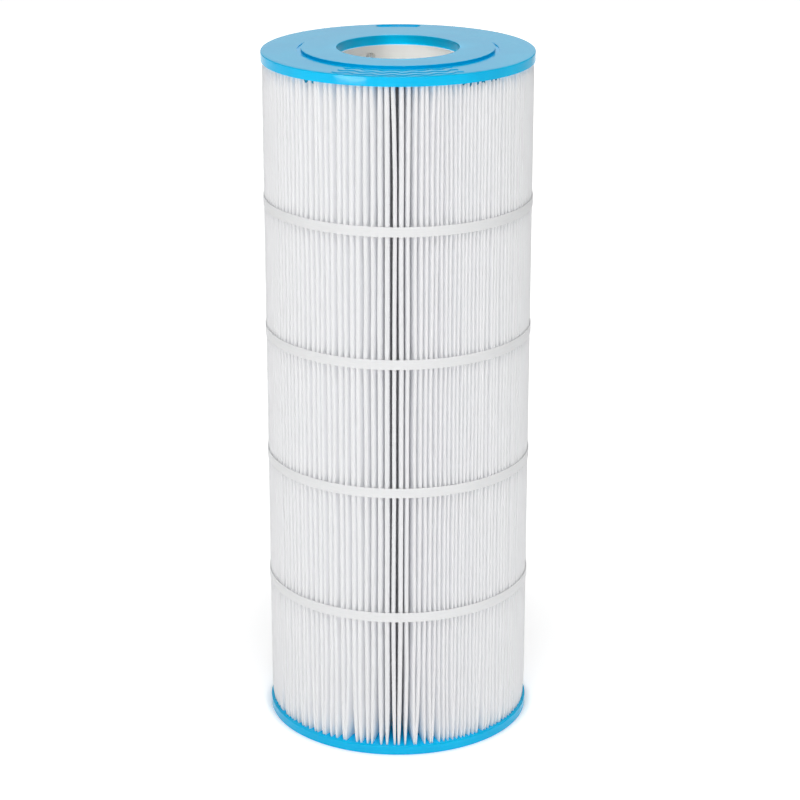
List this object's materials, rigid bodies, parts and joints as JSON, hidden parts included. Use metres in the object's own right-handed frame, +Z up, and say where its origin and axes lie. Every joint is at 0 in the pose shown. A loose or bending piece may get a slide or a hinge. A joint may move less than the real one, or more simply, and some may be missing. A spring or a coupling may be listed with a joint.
{
  "type": "pool filter cartridge",
  "caption": "Tall round pool filter cartridge: a pleated fabric sheet round a perforated core, banded, with blue cast ring caps and a flow opening through both ends.",
  "frame": {"origin": "centre of the bottom cap's underside, on the cartridge's axis, where it stands", "axes": "+Z up along the cartridge's axis to the top cap; +Y towards the back, where the top cap has its label recess; -Y towards the raised wave lines"},
  "size_m": [0.227, 0.227, 0.5906],
  "materials": {
    "urethane_cap": "smooth cast polyurethane, satin to glossy",
    "core_plastic": "injection moulded, satin off-white",
    "media_fabric": "spunbonded nonwoven polyester, matt white",
    "band_plastic": "thin translucent white strap"
  },
  "bodies": {
    "root": {"top_end_cap": "urethane_cap", "bottom_end_cap": "urethane_cap", "core_tube": "core_plastic", "pleated_media": "media_fabric", "band_1": "band_plastic", "band_2": "band_plastic", "band_3": "band_plastic", "band_4": "band_plastic"}
  },
  "joints": []
}
